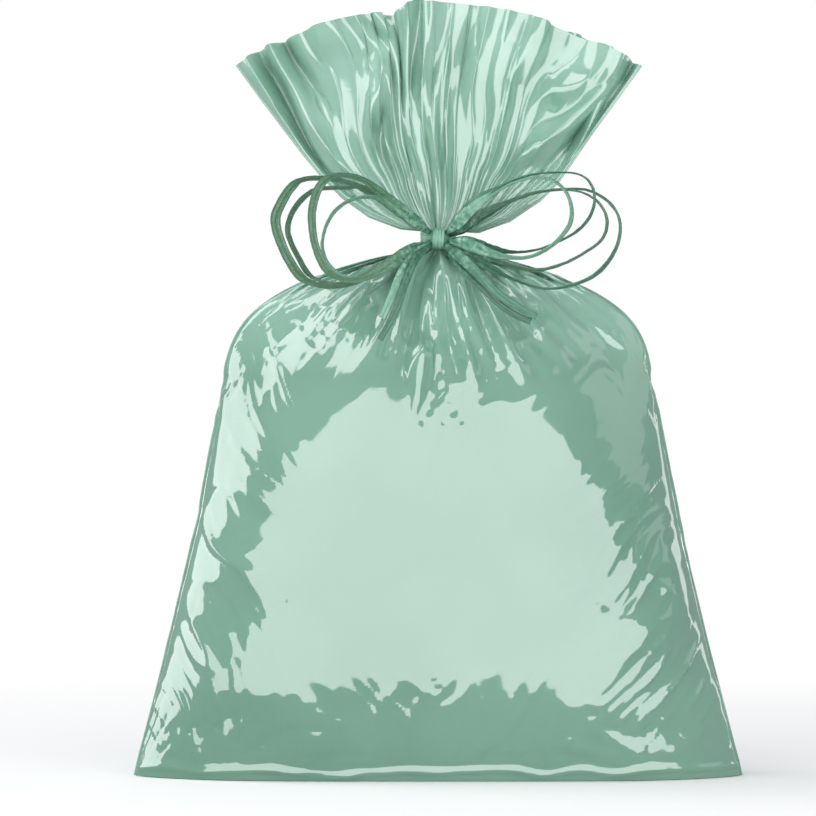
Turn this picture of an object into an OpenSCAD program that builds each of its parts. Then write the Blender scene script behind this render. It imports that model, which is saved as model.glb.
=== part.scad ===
// Film gift sack, stuffed and standing, gathered at the neck and tied with a raffia bow.
// The origin is the centre of the base, on the surface that the sack stands on.
// +Z is up and the front of the sack faces -Y. All sizes are in millimetres.

/* [Sack] */
// Width of the base between its two corners
base_w = 300; // [250:1:360]
// Depth of the base from front to back
base_d = 80; // [66:1:96]
// Radius of the rounded edge round the base
base_edge_r = 6; // [3:0.5:8]
// Depth of the belly where it is fullest
belly_d = 124; // [103:1:149]
// Height at which the belly is fullest
belly_z = 110; // [80:1:140]
// Width of the sack where its shoulders begin
shoulder_w = 222; // [185:1:250]
// Height at which the shoulders begin
shoulder_z = 180; // [150:1:200]
// Height at which the film meets the neck
neck_z = 262; // [240:1:315]
// Radius of the gathered film in the neck
neck_r = 7.5; // [6:0.1:9]
// Thickness of a film panel
film_t = 0.8; // [0.6:0.1:1]
// Width of the welded seam at each side
weld_w = 1.2; // [0.8:0.1:2]

/* [Flared top] */
// Width of the flared top between its corners
flare_w = 200; // [160:1:240]
// Height of the corners above the root of the flare
flare_side_h = 76; // [62:1:92]
// Height of the middle of the mouth above the root of the flare
flare_mid_h = 109; // [94:1:128]
// Width gained close to the root, where the film springs out of the tie
flare_spring_w = 40; // [30:1:48]
// Depth of the open mouth, between the two panels
mouth_d = 24; // [20:1:30]
// Number of pleats across the flare
pleats = 8; // [5:1:12]
// Height of a pleat at the mouth
pleat_h = 2.5; // [1:0.1:3]

/* [Tie and knot] */
// Number of turns of the tie round the neck
tie_turns = 3; // [2:1:4]
// Height of one turn of the tie
turn_h = 3; // [2.5:0.1:3.5]
// Thickness of the wound raffia
wound_t = 1.2; // [0.8:0.1:1.6]
// Radius of the pinched middle of the bow
core_r = 4; // [3.5:0.1:4.5]
// Depth of the pinched middle of the bow
core_d = 10.4; // [9:0.1:12.5]
// Width of one turn of the wrap over the bow
wrap_w = 2; // [1.6:0.1:2.2]

/* [Raffia] */
// Width of the flat raffia
raffia_w = 6; // [5:0.1:6.2]
// Thickness of the raffia with its crumpling
raffia_t = 0.8; // [0.5:0.1:0.9]

/* [Clearances] */
// Gap between pieces that move against each other
run_gap = 0.3; // [0.2:0.05:0.4]
// Gap between the stuffing and the film round it
stuffing_gap = 0.8; // [0.6:0.05:0.9]

/* [Hidden] */
$fn = 96;

FILM = [0.56, 0.78, 0.69];
WELD = [0.42, 0.63, 0.54];
RAFFIA = [0.31, 0.54, 0.45];
STUFFING = [0.93, 0.93, 0.90];

// Steps across a panel, up the sack, across and up the flare, and along a raffia strand
PANEL_STEPS = 18;
SACK_ROWS = 22;
FLARE_STEPS = pleats * 5;
FLARE_ROWS = 9;
LOOP_STEPS = 28;
TAIL_STEPS = 14;

// Half the thickness of the weld, where the two panels meet
rim = film_t / 2;
// Radius of the film round the neck, and how sharply width and depth fall to it
throat_r = neck_r + run_gap + film_t;
width_fall = 4.8;
depth_fall = 1.7;
// Height at which the depth begins to fall to the neck
depth_fall_z = shoulder_z - 30;
// Roundness of a cross-section: its exponents at the belly and at the neck
belly_section = [2.5, 0.85];
neck_section = [2, 0.5];

// The stuffing stops short of the corners and of the neck
stuffing_share = 0.95;
stuffing_top_z = neck_z - 12;

// The tie lies on the neck, and the flare leans over a ball on top of it
tie_r = neck_r + run_gap;
tie_z = neck_z + run_gap;
tie_h = tie_turns * turn_h;
hinge_z = tie_z + tie_h + run_gap;
root_angle = 50;
root_dist = neck_r + run_gap + film_t * sin(root_angle);
root_r = root_dist * sin(root_angle);
root_z = hinge_z + root_dist * cos(root_angle);
spring_h = 6;
flare_slope = (flare_w / 2 - root_r - flare_spring_w) / flare_side_h;

// The bow sits in front of the tie: the wrap passes behind, over and in front of its core
knot_z = tie_z + tie_h / 2;
wrap_t = 0.9;
wrap_turns = 2;
wrap_back_y = -(tie_r + wound_t + run_gap);
core_back_y = wrap_back_y - wrap_t - run_gap;
strand_root_r = core_r + run_gap;

// The strands leave the core in bands, one behind another, so that each swings past the next
BANDS = 6;
band_pitch = core_d / BANDS;
band_gap = 0.4;
// How far the loops lean forward, over what distance, and where they have spread to full width
loop_lean = 20;
lean_reach = 14;
spread_reach = 50;
// Spread from one loop to the next, more than the raffia's width at each loop's end
loop_spread = raffia_w + 0.6 - band_pitch;

// Loops: [side, band at the core, rank of the spread, upper handle, lower handle]. The handles
// are [outwards, up] from the middle of the knot, and bend each loop as a Bezier curve.
LEFT_LOOPS = [
    [-1, 1, 1, [150, 100], [64, -76]],
    [-1, 0, 0, [135, 88], [62, -70]],
    [-1, 3, 3, [118, 100], [56, -68]],
    [-1, 2, 2, [106, 70], [50, -60]]
];
RIGHT_LOOPS = [
    [1, 0, 0, [150, 98], [90, -90]],
    [1, 1, 1, [140, 85], [81, -60]],
    [1, 2, 2, [138, 92], [66, -34]],
    [1, 3, 3, [118, 78], [56, -30]]
];
// Tails: [side, band at the core, how far it leans forward, middle handle, tip]
LEFT_TAILS = [
    [-1, 5, 34, [13, -14], [26, -50]],
    [-1, 4, 34, [15, -15], [28, -39]]
];
RIGHT_TAILS = [
    [1, 5, 34, [24, -19], [48, -38]],
    [1, 4, 34, [21, -20], [45, -41]]
];
tail_spread_reach = 20;

function clamp01(v) = min(1, max(0, v));
function ease(v) = v * v * (3 - 2 * v);
function reversed(list) = [for (i = [len(list) - 1:-1:0]) list[i]];

// How far z has come from the shoulders to the neck, from 0 to 1
function shoulder_share(z) = clamp01((z - shoulder_z) / (neck_z - shoulder_z));
// Loss of depth in the rounded edge round the base
function edge_loss(z) = z >= base_edge_r ? 0 : base_edge_r - sqrt(base_edge_r ^ 2 - (base_edge_r - z) ^ 2);
function side_half_w(z) = base_w / 2 - (base_w - shoulder_w) / 2 * z / shoulder_z;
function half_w(z) = throat_r + (side_half_w(z) - throat_r) * (1 - shoulder_share(z) ^ width_fall);
function belly_half_d(z) = (base_d + (belly_d - base_d) * sin(90 * clamp01(z / belly_z))) / 2;
function half_d(z) =
    let (fall = clamp01((z - depth_fall_z) / (neck_z - depth_fall_z)) ^ depth_fall)
    throat_r + (belly_half_d(z) - throat_r) * (1 - fall) - edge_loss(z);

// Depth of the cross-section as a share of half_d, at a share u of half_w
function section(u, z) =
    let (k = ease(shoulder_share(z)), e = belly_section + (neck_section - belly_section) * k)
    (1 - abs(u) ^ e[0]) ^ e[1];
// Distance of a panel's outer face from the plane of the welds
function panel_y(u, z) = rim + (half_d(z) - rim) * section(u, z);
// Steps across from -1 to 1, closer together at the sides
function across(steps) = [for (j = [0:steps]) sin(90 * (2 * j / steps - 1))];
// Heights up the sack, closer together at the base and under the neck
function sack_heights() = [
    for (i = [0:SACK_ROWS])
        let (v = i / SACK_ROWS)
        film_t + (neck_z - film_t) * (v - 0.09 * sin(360 * v))
];

// One ring of a panel: its outer face from left to right, then its inner face back
function panel_ring(side, z) = concat(
    [for (u = across(PANEL_STEPS)) [u * half_w(z), side * panel_y(u, z), z]],
    [for (u = reversed(across(PANEL_STEPS))) [u * half_w(z), side * max(0, panel_y(u, z) - film_t), z]]
);
function weld_ring(side, z) =
    let (x = side * half_w(z))
    [[x, -rim, z], [x + side * weld_w, -rim, z], [x + side * weld_w, rim, z], [x, rim, z]];
function stuffing_ring(z) =
    let (us = [for (u = across(PANEL_STEPS)) u * stuffing_share])
    concat(
        [for (u = us) [u * half_w(z), -(panel_y(u, z) - film_t - stuffing_gap), z]],
        [for (u = reversed(us)) [u * half_w(z), panel_y(u, z) - film_t - stuffing_gap, z]]
    );

// The flare: u runs across it from -1 to 1, and s from its root to its mouth
function flare_h(u, s) = s * (flare_side_h + (flare_mid_h - flare_side_h) * (1 - u ^ 2));
function flare_half_w(h) = root_r + flare_spring_w * (1 - exp(-h / spring_h)) + flare_slope * h;
function flare_pleat(u, s) = pleat_h * s * cos(180 * pleats * u);
function flare_gap(u, s) = rim + (root_r + (mouth_d / 2 - root_r) * s - rim) * sqrt(1 - u ^ 2);
function flare_point(side, u, s, inset) =
    let (h = flare_h(u, s))
    [u * flare_half_w(h), flare_pleat(u, s) + side * max(0, flare_gap(u, s) - inset), root_z + h];
function flare_ring(side, s) =
    let (us = [for (j = [0:FLARE_STEPS]) 2 * j / FLARE_STEPS - 1])
    concat(
        [for (u = us) flare_point(side, u, s, 0)],
        [for (u = reversed(us)) flare_point(side, u, s, film_t)]
    );
function flare_weld_ring(side, s) =
    let (in = flare_point(-1, side, s, 0), out = in + [side * weld_w, 0, 0], deep = [0, 2 * rim, 0])
    [in, out, out + deep, in + deep];

// The strands: y of a band at the core, and the share of its full width at distance r
function band_y(band) = core_back_y - band_pitch * (band + 0.5);
function spread(r, reach) = clamp01((r - strand_root_r) / (reach - strand_root_r));
function leaning(r) = 1 - exp((strand_root_r - r) / lean_reach);
function loop_y(loop, r) = band_y(loop[1]) - loop_lean * leaning(r) - loop[2] * loop_spread * spread(r, spread_reach);
function strand_w(r, reach) = band_pitch - band_gap + (raffia_w - band_pitch + band_gap) * spread(r, reach);

// A loop is a Bezier curve that leaves the middle of the knot and comes back to it
function loop_at(loop, t) = 3 * (1 - t) ^ 2 * t * loop[3] + 3 * (1 - t) * t ^ 2 * loop[4];
function loop_way(loop, t) = (3 * (1 - t) ^ 2 - 6 * (1 - t) * t) * loop[3] + (6 * (1 - t) * t - 3 * t ^ 2) * loop[4];
function loop_t(loop, v) =
    let (from = strand_root_r / (3 * norm(loop[3])), to = 1 - strand_root_r / (3 * norm(loop[4])), slack = 0.05 * from)
    from + slack + (to - from - 2 * slack) * ease(v);
function loop_ring(loop, v) =
    let (
        t = loop_t(loop, v), p = loop_at(loop, t), way = loop_way(loop, t), r = norm(p),
        n = [-way[1], way[0]] / norm(way) * raffia_t / 2, w = strand_w(r, spread_reach) / 2, y = loop_y(loop, r)
    )
    [for (c = [[1, -1], [1, 1], [-1, 1], [-1, -1]])
        [loop[0] * (p[0] + c[0] * n[0]), y + c[1] * w, knot_z + p[1] + c[0] * n[1]]];

// A tail is a curve with one handle, flat to the front
function tail_at(tail, t) = 2 * (1 - t) * t * tail[3] + t ^ 2 * tail[4];
function tail_way(tail, t) = 2 * (1 - 2 * t) * tail[3] + 2 * t * tail[4];
function tail_ring(tail, v) =
    let (
        from = 1.1 * strand_root_r / (2 * norm(tail[3])), t = from + (1 - from) * v,
        p = tail_at(tail, t), way = tail_way(tail, t), r = norm(p), y = band_y(tail[1]) - tail[2] * leaning(r),
        n = [-way[1], way[0]] / norm(way) * strand_w(r, tail_spread_reach) / 2, d = raffia_t / 2
    )
    [for (c = [[1, -1], [1, 1], [-1, 1], [-1, -1]])
        [tail[0] * (p[0] + c[0] * n[0]), y + c[1] * d, knot_z + p[1] + c[0] * n[1]]];

// A closed solid through rings of equal length, each half face and half back, with capped ends
module skin(rings, flip = false) {
    n = len(rings[0]);
    last = (len(rings) - 1) * n;
    quads = concat(
        [for (i = [0:len(rings) - 2], k = [0:n - 1]) let (m = (k + 1) % n)
            [i * n + k, i * n + m, (i + 1) * n + m, (i + 1) * n + k]],
        [for (k = [0:n / 2 - 2]) [n - 1 - k, n - 2 - k, k + 1, k]],
        [for (k = [0:n / 2 - 2]) [last + k, last + k + 1, last + n - 2 - k, last + n - 1 - k]]
    );
    triangles = [for (q = quads, t = [[q[0], q[1], q[2]], [q[0], q[2], q[3]]]) flip ? reversed(t) : t];
    polyhedron([for (ring = rings, p = ring) p], triangles);
}

module film_panel(side) {
    color(FILM) skin([for (z = sack_heights()) panel_ring(side, z)], side < 0);
}

module base_panel() {
    outline = concat(
        [for (u = across(PANEL_STEPS)) [u * half_w(0), -panel_y(u, film_t)]],
        [for (u = reversed(across(PANEL_STEPS))) [u * half_w(0), panel_y(u, film_t)]]
    );
    color(FILM) linear_extrude(film_t) polygon(outline);
}

module side_weld(side) {
    color(WELD) skin([for (z = sack_heights()) weld_ring(side, z)], side > 0);
}

module stuffing() {
    bottom_z = film_t + run_gap;
    between = [for (z = sack_heights()) if (z > bottom_z && z < stuffing_top_z) z];
    color(STUFFING) skin([for (z = concat(bottom_z, between, stuffing_top_z)) stuffing_ring(z)], true);
}

module neck_gather() {
    color(FILM) rotate_extrude() {
        translate([0, stuffing_top_z + run_gap]) square([neck_r, hinge_z - stuffing_top_z - run_gap]);
        intersection() {
            translate([0, hinge_z]) circle(neck_r);
            translate([0, hinge_z]) square(neck_r);
        }
    }
}

module flare_panel(side) {
    color(FILM) skin([for (i = [0:FLARE_ROWS]) flare_ring(side, i / FLARE_ROWS)], side < 0);
}

module flare_weld(side) {
    color(WELD) skin([for (i = [0:FLARE_ROWS]) flare_weld_ring(side, i / FLARE_ROWS)], side > 0);
}

// One turn of wound raffia, with its edges worn round
module turn_profile(w, t) {
    worn = 0.25 * t;
    polygon([[0, 0], [t - worn, 0], [t, worn], [t, w - worn], [t - worn, w], [0, w]]);
}

module neck_tie() {
    color(RAFFIA) for (i = [0:tie_turns - 1])
        rotate_extrude() translate([tie_r, tie_z + i * turn_h]) turn_profile(turn_h, wound_t);
}

module bow_core() {
    color(RAFFIA) translate([0, core_back_y, knot_z]) rotate([90, 0, 0]) cylinder(r = core_r, h = core_d);
}

// The outline of the wrap round the core, seen from the side and grown outwards
module wrap_outline(grow) {
    corner = 3 * run_gap;
    offset(r = corner + grow) offset(delta = -corner)
        translate([core_back_y - core_d - run_gap, -core_r - run_gap])
            square([core_d + 2 * run_gap, 2 * (core_r + run_gap)]);
}

module knot_wrap() {
    inset = 0.15;
    color(RAFFIA) for (i = [0:wrap_turns - 1])
        translate([(i - wrap_turns / 2) * wrap_w, 0, knot_z]) rotate([90, 0, 90]) {
            linear_extrude(wrap_w) difference() {
                wrap_outline(wrap_t - inset);
                wrap_outline(0);
            }
            translate([0, 0, inset]) linear_extrude(wrap_w - 2 * inset) difference() {
                wrap_outline(wrap_t);
                wrap_outline(0);
            }
        }
}

module raffia_loop(loop) {
    color(RAFFIA) skin([for (i = [0:LOOP_STEPS]) loop_ring(loop, i / LOOP_STEPS)], loop[0] < 0);
}

module raffia_tail(tail) {
    color(RAFFIA) skin([for (i = [0:TAIL_STEPS]) tail_ring(tail, i / TAIL_STEPS)], tail[0] < 0);
}

film_panel(-1);  // front_panel
film_panel(1);  // back_panel
base_panel();
side_weld(-1);  // left_side_weld
side_weld(1);  // right_side_weld
stuffing();
neck_gather();
flare_panel(-1);  // flare_front
flare_panel(1);  // flare_back
flare_weld(-1);  // flare_left_weld
flare_weld(1);  // flare_right_weld
neck_tie();
bow_core();
knot_wrap();
raffia_loop(LEFT_LOOPS[0]);  // left_loop_1
raffia_loop(LEFT_LOOPS[1]);  // left_loop_2
raffia_loop(LEFT_LOOPS[2]);  // left_loop_3
raffia_loop(LEFT_LOOPS[3]);  // left_loop_4
raffia_loop(RIGHT_LOOPS[0]);  // right_loop_1
raffia_loop(RIGHT_LOOPS[1]);  // right_loop_2
raffia_loop(RIGHT_LOOPS[2]);  // right_loop_3
raffia_loop(RIGHT_LOOPS[3]);  // right_loop_4
raffia_tail(LEFT_TAILS[0]);  // left_tail_1
raffia_tail(LEFT_TAILS[1]);  // left_tail_2
raffia_tail(RIGHT_TAILS[0]);  // right_tail_1
raffia_tail(RIGHT_TAILS[1]);  // right_tail_2
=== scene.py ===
"""Gift sack of pearly mint film: a filled pouch, a pleated flare above its neck and a raffia bow.

Metres, Z up, the front looks along -Y. The pouch film is settled as cloth under air pressure.
"""

import logging
import math
from dataclasses import dataclass, field
from enum import Enum
from typing import Callable

import bmesh
import bpy
import numpy as np
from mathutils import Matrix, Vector


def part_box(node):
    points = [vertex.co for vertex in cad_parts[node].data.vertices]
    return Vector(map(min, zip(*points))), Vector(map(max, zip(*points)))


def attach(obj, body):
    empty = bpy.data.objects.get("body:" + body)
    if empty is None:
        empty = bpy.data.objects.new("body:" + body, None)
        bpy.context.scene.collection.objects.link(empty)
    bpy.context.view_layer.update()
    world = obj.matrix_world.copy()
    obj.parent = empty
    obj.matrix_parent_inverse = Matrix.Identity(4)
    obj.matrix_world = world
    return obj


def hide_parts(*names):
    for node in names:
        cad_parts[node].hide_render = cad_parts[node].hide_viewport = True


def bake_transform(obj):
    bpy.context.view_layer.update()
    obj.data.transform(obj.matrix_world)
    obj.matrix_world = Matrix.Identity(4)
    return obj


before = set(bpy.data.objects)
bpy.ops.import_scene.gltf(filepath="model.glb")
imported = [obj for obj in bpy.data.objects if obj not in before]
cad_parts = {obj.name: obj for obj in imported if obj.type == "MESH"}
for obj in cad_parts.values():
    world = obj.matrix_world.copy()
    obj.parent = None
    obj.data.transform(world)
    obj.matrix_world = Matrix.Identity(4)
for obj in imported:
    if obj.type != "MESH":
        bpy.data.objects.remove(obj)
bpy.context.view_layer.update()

logging.basicConfig(level=logging.INFO, format="%(message)s")
log = logging.getLogger("gift_sack")

MM = 0.001
TABLE = np.random.default_rng(7).random((256, 256))

# The sizes that the CAD source gives, in metres.
BASE_HALF = 150 * MM
SHOULDER_HALF = 111 * MM
SHOULDER_Z = 180 * MM
NECK_Z = 262 * MM
THROAT_R = 8.6 * MM
HINGE_Z = 271.6 * MM
KNOT_Z = 266.8 * MM
CORE_BACK_Y = -10.5 * MM
CORE_FRONT_Y = -20.9 * MM
BAND_PITCH = 1.733 * MM
STRAND_ROOT = 4.3 * MM
RANK_STEP = 4.867 * MM
RANK_RUN = 45.7 * MM

# How finely the strands are drawn, how thick they look and how far they turn at the knot, in degrees.
LOOP_POINTS, TAIL_POINTS, STRAND_AROUND = 300, 120, 24
STRAND_THICK = 0.42 * MM
KNOT_TURN = 84

# Painted light high on the film, in a band that begins above the whole object, so that it never shows.
NO_PAINTED_LIGHT = (0.9, 1.0)
WELD_THICK = 0.45 * MM
WELD_PITCH = 1.6 * MM
WELD_AROUND = 10
FLOOR_GAP = 0.3 * MM
FRONT_SEED, BACK_SEED = 0, 60

Ripple = Callable[[np.ndarray, np.ndarray], np.ndarray]


# ---------------------------------------------------------------- numbers


def clamp01(v: np.ndarray) -> np.ndarray:
    """v held between 0 and 1."""
    return np.clip(v, 0.0, 1.0)


def ease(v: np.ndarray) -> np.ndarray:
    """Smooth step: 3 v squared less 2 v cubed, of v held between 0 and 1."""
    v = clamp01(v)
    return v * v * (3 - 2 * v)


def ramp(v: np.ndarray, low: float, high: float) -> np.ndarray:
    """Smooth step of v from low, where it is 0, to high, where it is 1."""
    return ease((v - low) / (high - low))


def noise(a: np.ndarray, b: np.ndarray | float, seed: int = 0) -> np.ndarray:
    """Smooth noise from 0 to 1: the seeded table read at a and b, eased between its cells.

    Args:
        a: first coordinate, one cell to a unit.
        b: second coordinate, one cell to a unit.
        seed: shifts both coordinates, for another pattern.

    Returns:
        The noise, in the shape that a and b make together.
    """
    a = np.asarray(a, float) + 17.31 * seed
    b = np.asarray(b, float) + 5.17 * seed
    i, j = np.floor(a).astype(int), np.floor(b).astype(int)
    fa, fb = ease(a - i), ease(b - j)

    def cell(p: np.ndarray, q: np.ndarray) -> np.ndarray:
        """The table at cell p, q, repeated without end."""
        return TABLE[p % 256, q % 256]

    low = cell(i, j) * (1 - fa) + cell(i + 1, j) * fa
    high = cell(i, j + 1) * (1 - fa) + cell(i + 1, j + 1) * fa
    return low * (1 - fb) + high * fb


def crests(a: np.ndarray, b: np.ndarray, seed: int = 0, sharp: float = 2.0) -> np.ndarray:
    """Sharp crests from 0 to 1: one less twice the noise's distance from its middle, raised to sharp."""
    return (1 - np.abs(2 * noise(a, b, seed) - 1)) ** sharp


def fold_wave(phase: np.ndarray) -> np.ndarray:
    """A zigzag from -1 to 1 with its corners a little rounded: the arc sine of 0.97 times the sine."""
    return np.arcsin(0.97 * np.sin(phase)) / math.asin(0.97)


def lengths(points: np.ndarray, axis: int = 0) -> np.ndarray:
    """Running length along an axis of a grid of points, from 0."""
    step = np.linalg.norm(np.diff(points, axis=axis), axis=-1)
    start = np.zeros_like(np.take(step, [0], axis=axis))
    return np.concatenate([start, np.cumsum(step, axis=axis)], axis=axis)


def even_points(line: np.ndarray, count: int) -> np.ndarray:
    """Count points, one to a row, evenly spaced along a line of points."""
    run = lengths(line)
    even = np.linspace(0, run[-1], count)
    return np.stack([np.interp(even, run, line[:, k]) for k in range(line.shape[1])], 1)


def smooth_path(points: np.ndarray, count: int) -> np.ndarray:
    """Catmull-Rom curve through the points, at count places evenly spaced along it.

    Args:
        points: the points that it goes through, one to a row.
        count: how many places.

    Returns:
        The places, one to a row.
    """
    p = np.vstack([2 * points[0] - points[1], points, 2 * points[-1] - points[-2]])
    s = np.linspace(0, len(points) - 1 - 1e-9, 24 * len(points))
    i = s.astype(int)
    f = (s - i)[:, None]
    a, b, c, d = p[i], p[i + 1], p[i + 2], p[i + 3]
    curve = 0.5 * (2 * b + (c - a) * f + (2 * a - 5 * b + 4 * c - d) * f**2
                   + (3 * b - a - 3 * c + d) * f**3)
    return even_points(curve, count)


def unit(v: np.ndarray) -> np.ndarray:
    """Vectors of length one along v's last axis."""
    return v / np.maximum(np.linalg.norm(v, axis=-1, keepdims=True), 1e-12)


def grid_normals(grid: np.ndarray, wrap: bool) -> np.ndarray:
    """Normals of a grid: the way along its columns crossed with the way up its rows.

    Args:
        grid: points, rows by columns by 3.
        wrap: whether the last column meets the first.

    Returns:
        One unit normal for each point.
    """
    up = np.gradient(grid, axis=0)
    if wrap:
        along = np.roll(grid, -1, 1) - np.roll(grid, 1, 1)
    else:
        along = np.gradient(grid, axis=1)
    return unit(np.cross(along, up))


def finer(grid: np.ndarray, axis: int, wrap: bool) -> np.ndarray:
    """A grid with a new line between every two, along one axis.

    A new point is nine sixteenths of each neighbour less a sixteenth of each next one.

    Args:
        grid: the points.
        axis: 0 for new rows, 1 for new columns.
        wrap: whether the last line meets the first.

    Returns:
        The finer grid.
    """
    g = np.moveaxis(grid, axis, 0)
    if wrap:
        padded = np.concatenate([g[-1:], g, g[:2]])
    else:
        padded = np.concatenate([2 * g[:1] - g[1:2], g, 2 * g[-1:] - g[-2:-1]])
    middle = (9 * (padded[1:-2] + padded[2:-1]) - padded[:-3] - padded[3:]) / 16
    made = np.empty((len(g) + len(middle), *g.shape[1:]))
    made[0::2], made[1::2] = g, middle
    return np.moveaxis(made, 0, axis)


# ---------------------------------------------------------------- meshes


def grid_object(name: str, grid: np.ndarray, wrap_rows: bool = False, wrap_cols: bool = False,
                caps: bool = False, uv: np.ndarray | None = None,
                crumple: np.ndarray | float | None = None) -> bpy.types.Object:
    """Makes an object whose faces join neighbouring points of a grid.

    Args:
        name: the piece's name.
        grid: points, rows by columns by 3.
        wrap_rows: whether the last row meets the first.
        wrap_cols: whether the last column meets the first.
        caps: whether the first and last row are closed by one face each.
        uv: a pair for each point, kept as the UV map "Strand".
        crumple: a number for each point, or one for all, kept as the attribute "crumple".

    Returns:
        The object, at the origin, smooth shaded.
    """
    rows, cols, _ = grid.shape
    index = np.arange(rows * cols).reshape(rows, cols)
    right, above = np.roll(index, -1, 1), np.roll(index, -1, 0)
    corners = np.stack([index, right, np.roll(right, -1, 0), above], -1)
    if not wrap_cols:
        corners = corners[:, :-1]
    if not wrap_rows:
        corners = corners[:-1]
    faces = corners.reshape(-1, 4).tolist()
    if caps:
        faces += [index[0, ::-1].tolist(), index[-1].tolist()]
    mesh = bpy.data.meshes.new(name)
    mesh.from_pydata(grid.reshape(-1, 3).tolist(), [], faces)
    mesh.polygons.foreach_set("use_smooth", np.ones(len(faces), bool))
    if uv is not None:
        corner = np.zeros(len(mesh.loops), np.int32)
        mesh.loops.foreach_get("vertex_index", corner)
        layer = mesh.uv_layers.new(name="Strand")
        layer.data.foreach_set("uv", uv.reshape(-1, 2)[corner].astype(np.float32).ravel())
    if crumple is not None:
        attribute = mesh.attributes.new("crumple", "FLOAT", "POINT")
        amount = np.broadcast_to(crumple, (rows, cols)).reshape(-1)
        attribute.data.foreach_set("value", amount.astype(np.float32))
    obj = bpy.data.objects.new(name, mesh)
    bpy.context.scene.collection.objects.link(obj)
    return obj


def face_outwards(obj: bpy.types.Object) -> bpy.types.Object:
    """Turns a closed mesh's faces outwards, and returns its object."""
    work = bmesh.new()
    work.from_mesh(obj.data)
    bmesh.ops.recalc_face_normals(work, faces=work.faces)
    work.to_mesh(obj.data)
    work.free()
    return obj


def tube_object(name: str, grid: np.ndarray, wrap_rows: bool = False, uv: np.ndarray | None = None,
                crumple: np.ndarray | float | None = None) -> bpy.types.Object:
    """A closed tube whose faces point outwards: its ends are capped, or meet where wrap_rows is set."""
    return face_outwards(grid_object(name, grid, wrap_rows, True, not wrap_rows, uv, crumple))


def stand_in(obj: bpy.types.Object, node: str, body: str | None = None) -> bpy.types.Object:
    """Puts a piece in place of a CAD node, which it hides, and on the body it rides on, where one is given.
    """
    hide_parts(node)
    if body:
        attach(obj, body)
    log.info("%s: %d faces", obj.name, len(obj.data.polygons))
    return obj


def ribbon_grid(path: np.ndarray, across: np.ndarray, width: np.ndarray | float, thick: float,
                around: int, ripple: Ripple) -> tuple[np.ndarray, np.ndarray]:
    """A flat closed profile carried along a path.

    The profile at angle q is half the width times the sine of q across, flattened at its edges,
    and half the thickness times the cosine of q out of the face, plus the ripple of both faces.

    Args:
        path: the middle line, one point to a row.
        across: the way that the width lies, one vector to a row.
        width: the width at each row, or one for all.
        thick: the thickness.
        around: how many points make the profile.
        ripple: gives how far the face stands out, from the share across and the length along.

    Returns:
        The grid of points, and a pair (share across, length along in metres) for each.
    """
    run = lengths(path)[:, None]
    q = np.linspace(0, 2 * np.pi, around, endpoint=False)[None, :]
    tangent = unit(np.gradient(path, axis=0))
    across = unit(across - tangent * np.sum(across * tangent, -1, keepdims=True))
    out = np.cross(tangent, across)
    share = np.sin(q) * np.ones_like(run)
    face = np.sign(np.cos(q)) * np.abs(np.cos(q)) ** 0.6
    lift = thick / 2 * face + ripple(share, run)
    half_width = share * np.broadcast_to(width, len(path))[:, None] / 2
    grid = path[:, None, :] + across[:, None, :] * half_width[..., None] + out[:, None, :] * lift[..., None]
    return grid, np.stack([share / 2 + 0.5, run * np.ones_like(share)], -1)


# ---------------------------------------------------------------- materials


def shader(name: str) -> tuple[bpy.types.Material, bpy.types.NodeTree, bpy.types.Node]:
    """A new material with nodes, its tree and its Principled BSDF."""
    material = bpy.data.materials.new(name)
    material.use_nodes = True
    return material, material.node_tree, material.node_tree.nodes["Principled BSDF"]


def new_node(tree: bpy.types.NodeTree, kind: str, **values: object) -> bpy.types.Node:
    """Adds a node and sets its values: an attribute by its name, a socket by s_ and its name or number."""
    node = tree.nodes.new(kind)
    for key, value in values.items():
        if key.startswith("s_"):
            name = key[2:].replace("_", " ")
            node.inputs[int(name) if name.isdigit() else name].default_value = value
        else:
            setattr(node, key, value)
    return node


def crinkle_group() -> bpy.types.NodeTree:
    """The node group "fine crinkle", built once: creases and a slow change of tone.

    Its height is ridged noise of Object coordinates at the given scale, times the amount.
    Its tone is plain noise at a fifth of that scale.
    """
    found = bpy.data.node_groups.get("fine crinkle")
    if found:
        return found
    tree = bpy.data.node_groups.new("fine crinkle", "ShaderNodeTree")
    face = tree.interface
    face.new_socket("Vector", in_out="INPUT", socket_type="NodeSocketVector")
    for name, way in (("Scale", "INPUT"), ("Amount", "INPUT"), ("Height", "OUTPUT"), ("Tone", "OUTPUT")):
        face.new_socket(name, in_out=way, socket_type="NodeSocketFloat")
    enter, leave = tree.nodes.new("NodeGroupInput"), tree.nodes.new("NodeGroupOutput")
    ridge = new_node(tree, "ShaderNodeTexNoise", noise_type="RIDGED_MULTIFRACTAL",
                     normalize=True, s_Detail=3.0, s_Roughness=0.45, s_Distortion=0.6)
    slow = new_node(tree, "ShaderNodeTexNoise", s_Detail=2.0)
    fifth = new_node(tree, "ShaderNodeMath", operation="MULTIPLY", s_1=0.2)
    times = new_node(tree, "ShaderNodeMath", operation="MULTIPLY")
    wire(tree, (enter.outputs["Vector"], ridge.inputs["Vector"]),
         (enter.outputs["Scale"], ridge.inputs["Scale"]),
         (enter.outputs["Vector"], slow.inputs["Vector"]), (enter.outputs["Scale"], fifth.inputs[0]),
         (fifth.outputs[0], slow.inputs["Scale"]), (ridge.outputs["Fac"], times.inputs[0]),
         (enter.outputs["Amount"], times.inputs[1]), (times.outputs[0], leave.inputs["Height"]),
         (slow.outputs["Fac"], leave.inputs["Tone"]))
    return tree


def wire(tree: bpy.types.NodeTree, *pairs: tuple) -> None:
    """Links each pair of sockets, from the one that gives to the one that takes."""
    for gives, takes in pairs:
        tree.links.new(gives, takes)


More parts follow.
